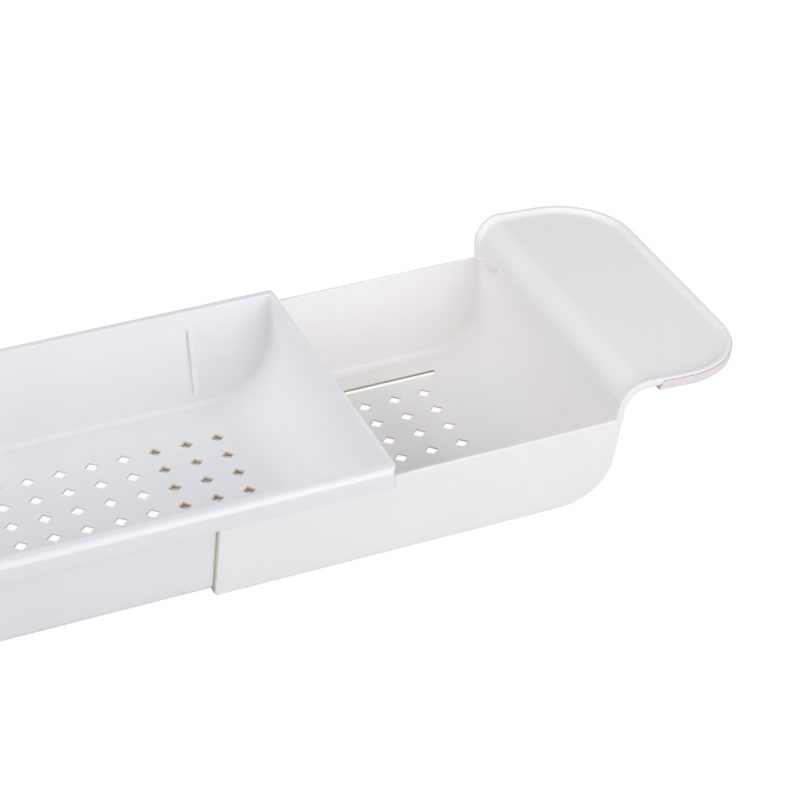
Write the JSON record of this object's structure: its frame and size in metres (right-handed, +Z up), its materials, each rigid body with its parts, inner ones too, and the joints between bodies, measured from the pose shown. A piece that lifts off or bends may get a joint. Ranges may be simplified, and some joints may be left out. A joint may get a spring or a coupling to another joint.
{
  "type": "bath caddy",
  "caption": "Long white perforated bath tray whose side trays slide out from under the middle one and end in wide flanges with soft grip pads that rest on the bath's edges.",
  "frame": {"origin": "under the middle of the caddy, on the plane of its lowest rails", "axes": "+X along the caddy across the bath, towards the side tray named right; +Y away from the side called near; +Z up"},
  "size_m": [0.8332, 0.1612, 0.0664],
  "materials": {
    "centre_plastic": "satin cool white polypropylene",
    "side_plastic": "satin neutral white polypropylene",
    "grip_rubber": "matte soft-touch elastomer",
    "button_plastic": "smooth white acetal"
  },
  "bodies": {
    "centre": {"centre_tray": "centre_plastic", "guide_button_right_near": "button_plastic", "guide_button_right_far": "button_plastic", "guide_button_left_near": "button_plastic", "guide_button_left_far": "button_plastic"},
    "right_side": {"side_tray_right": "side_plastic", "grip_pad_right": "grip_rubber"},
    "left_side": {"side_tray_left": "side_plastic", "grip_pad_left": "grip_rubber"}
  },
  "joints": [
    {"name": "right_slide", "type": "slide", "parent": "centre", "child": "right_side", "axis": [1, 0, 0], "range_m": [-0.102, 0.018]},
    {"name": "left_slide", "type": "slide", "parent": "centre", "child": "left_side", "axis": [-1, 0, 0], "range_m": [-0.102, 0.018]}
  ]
}
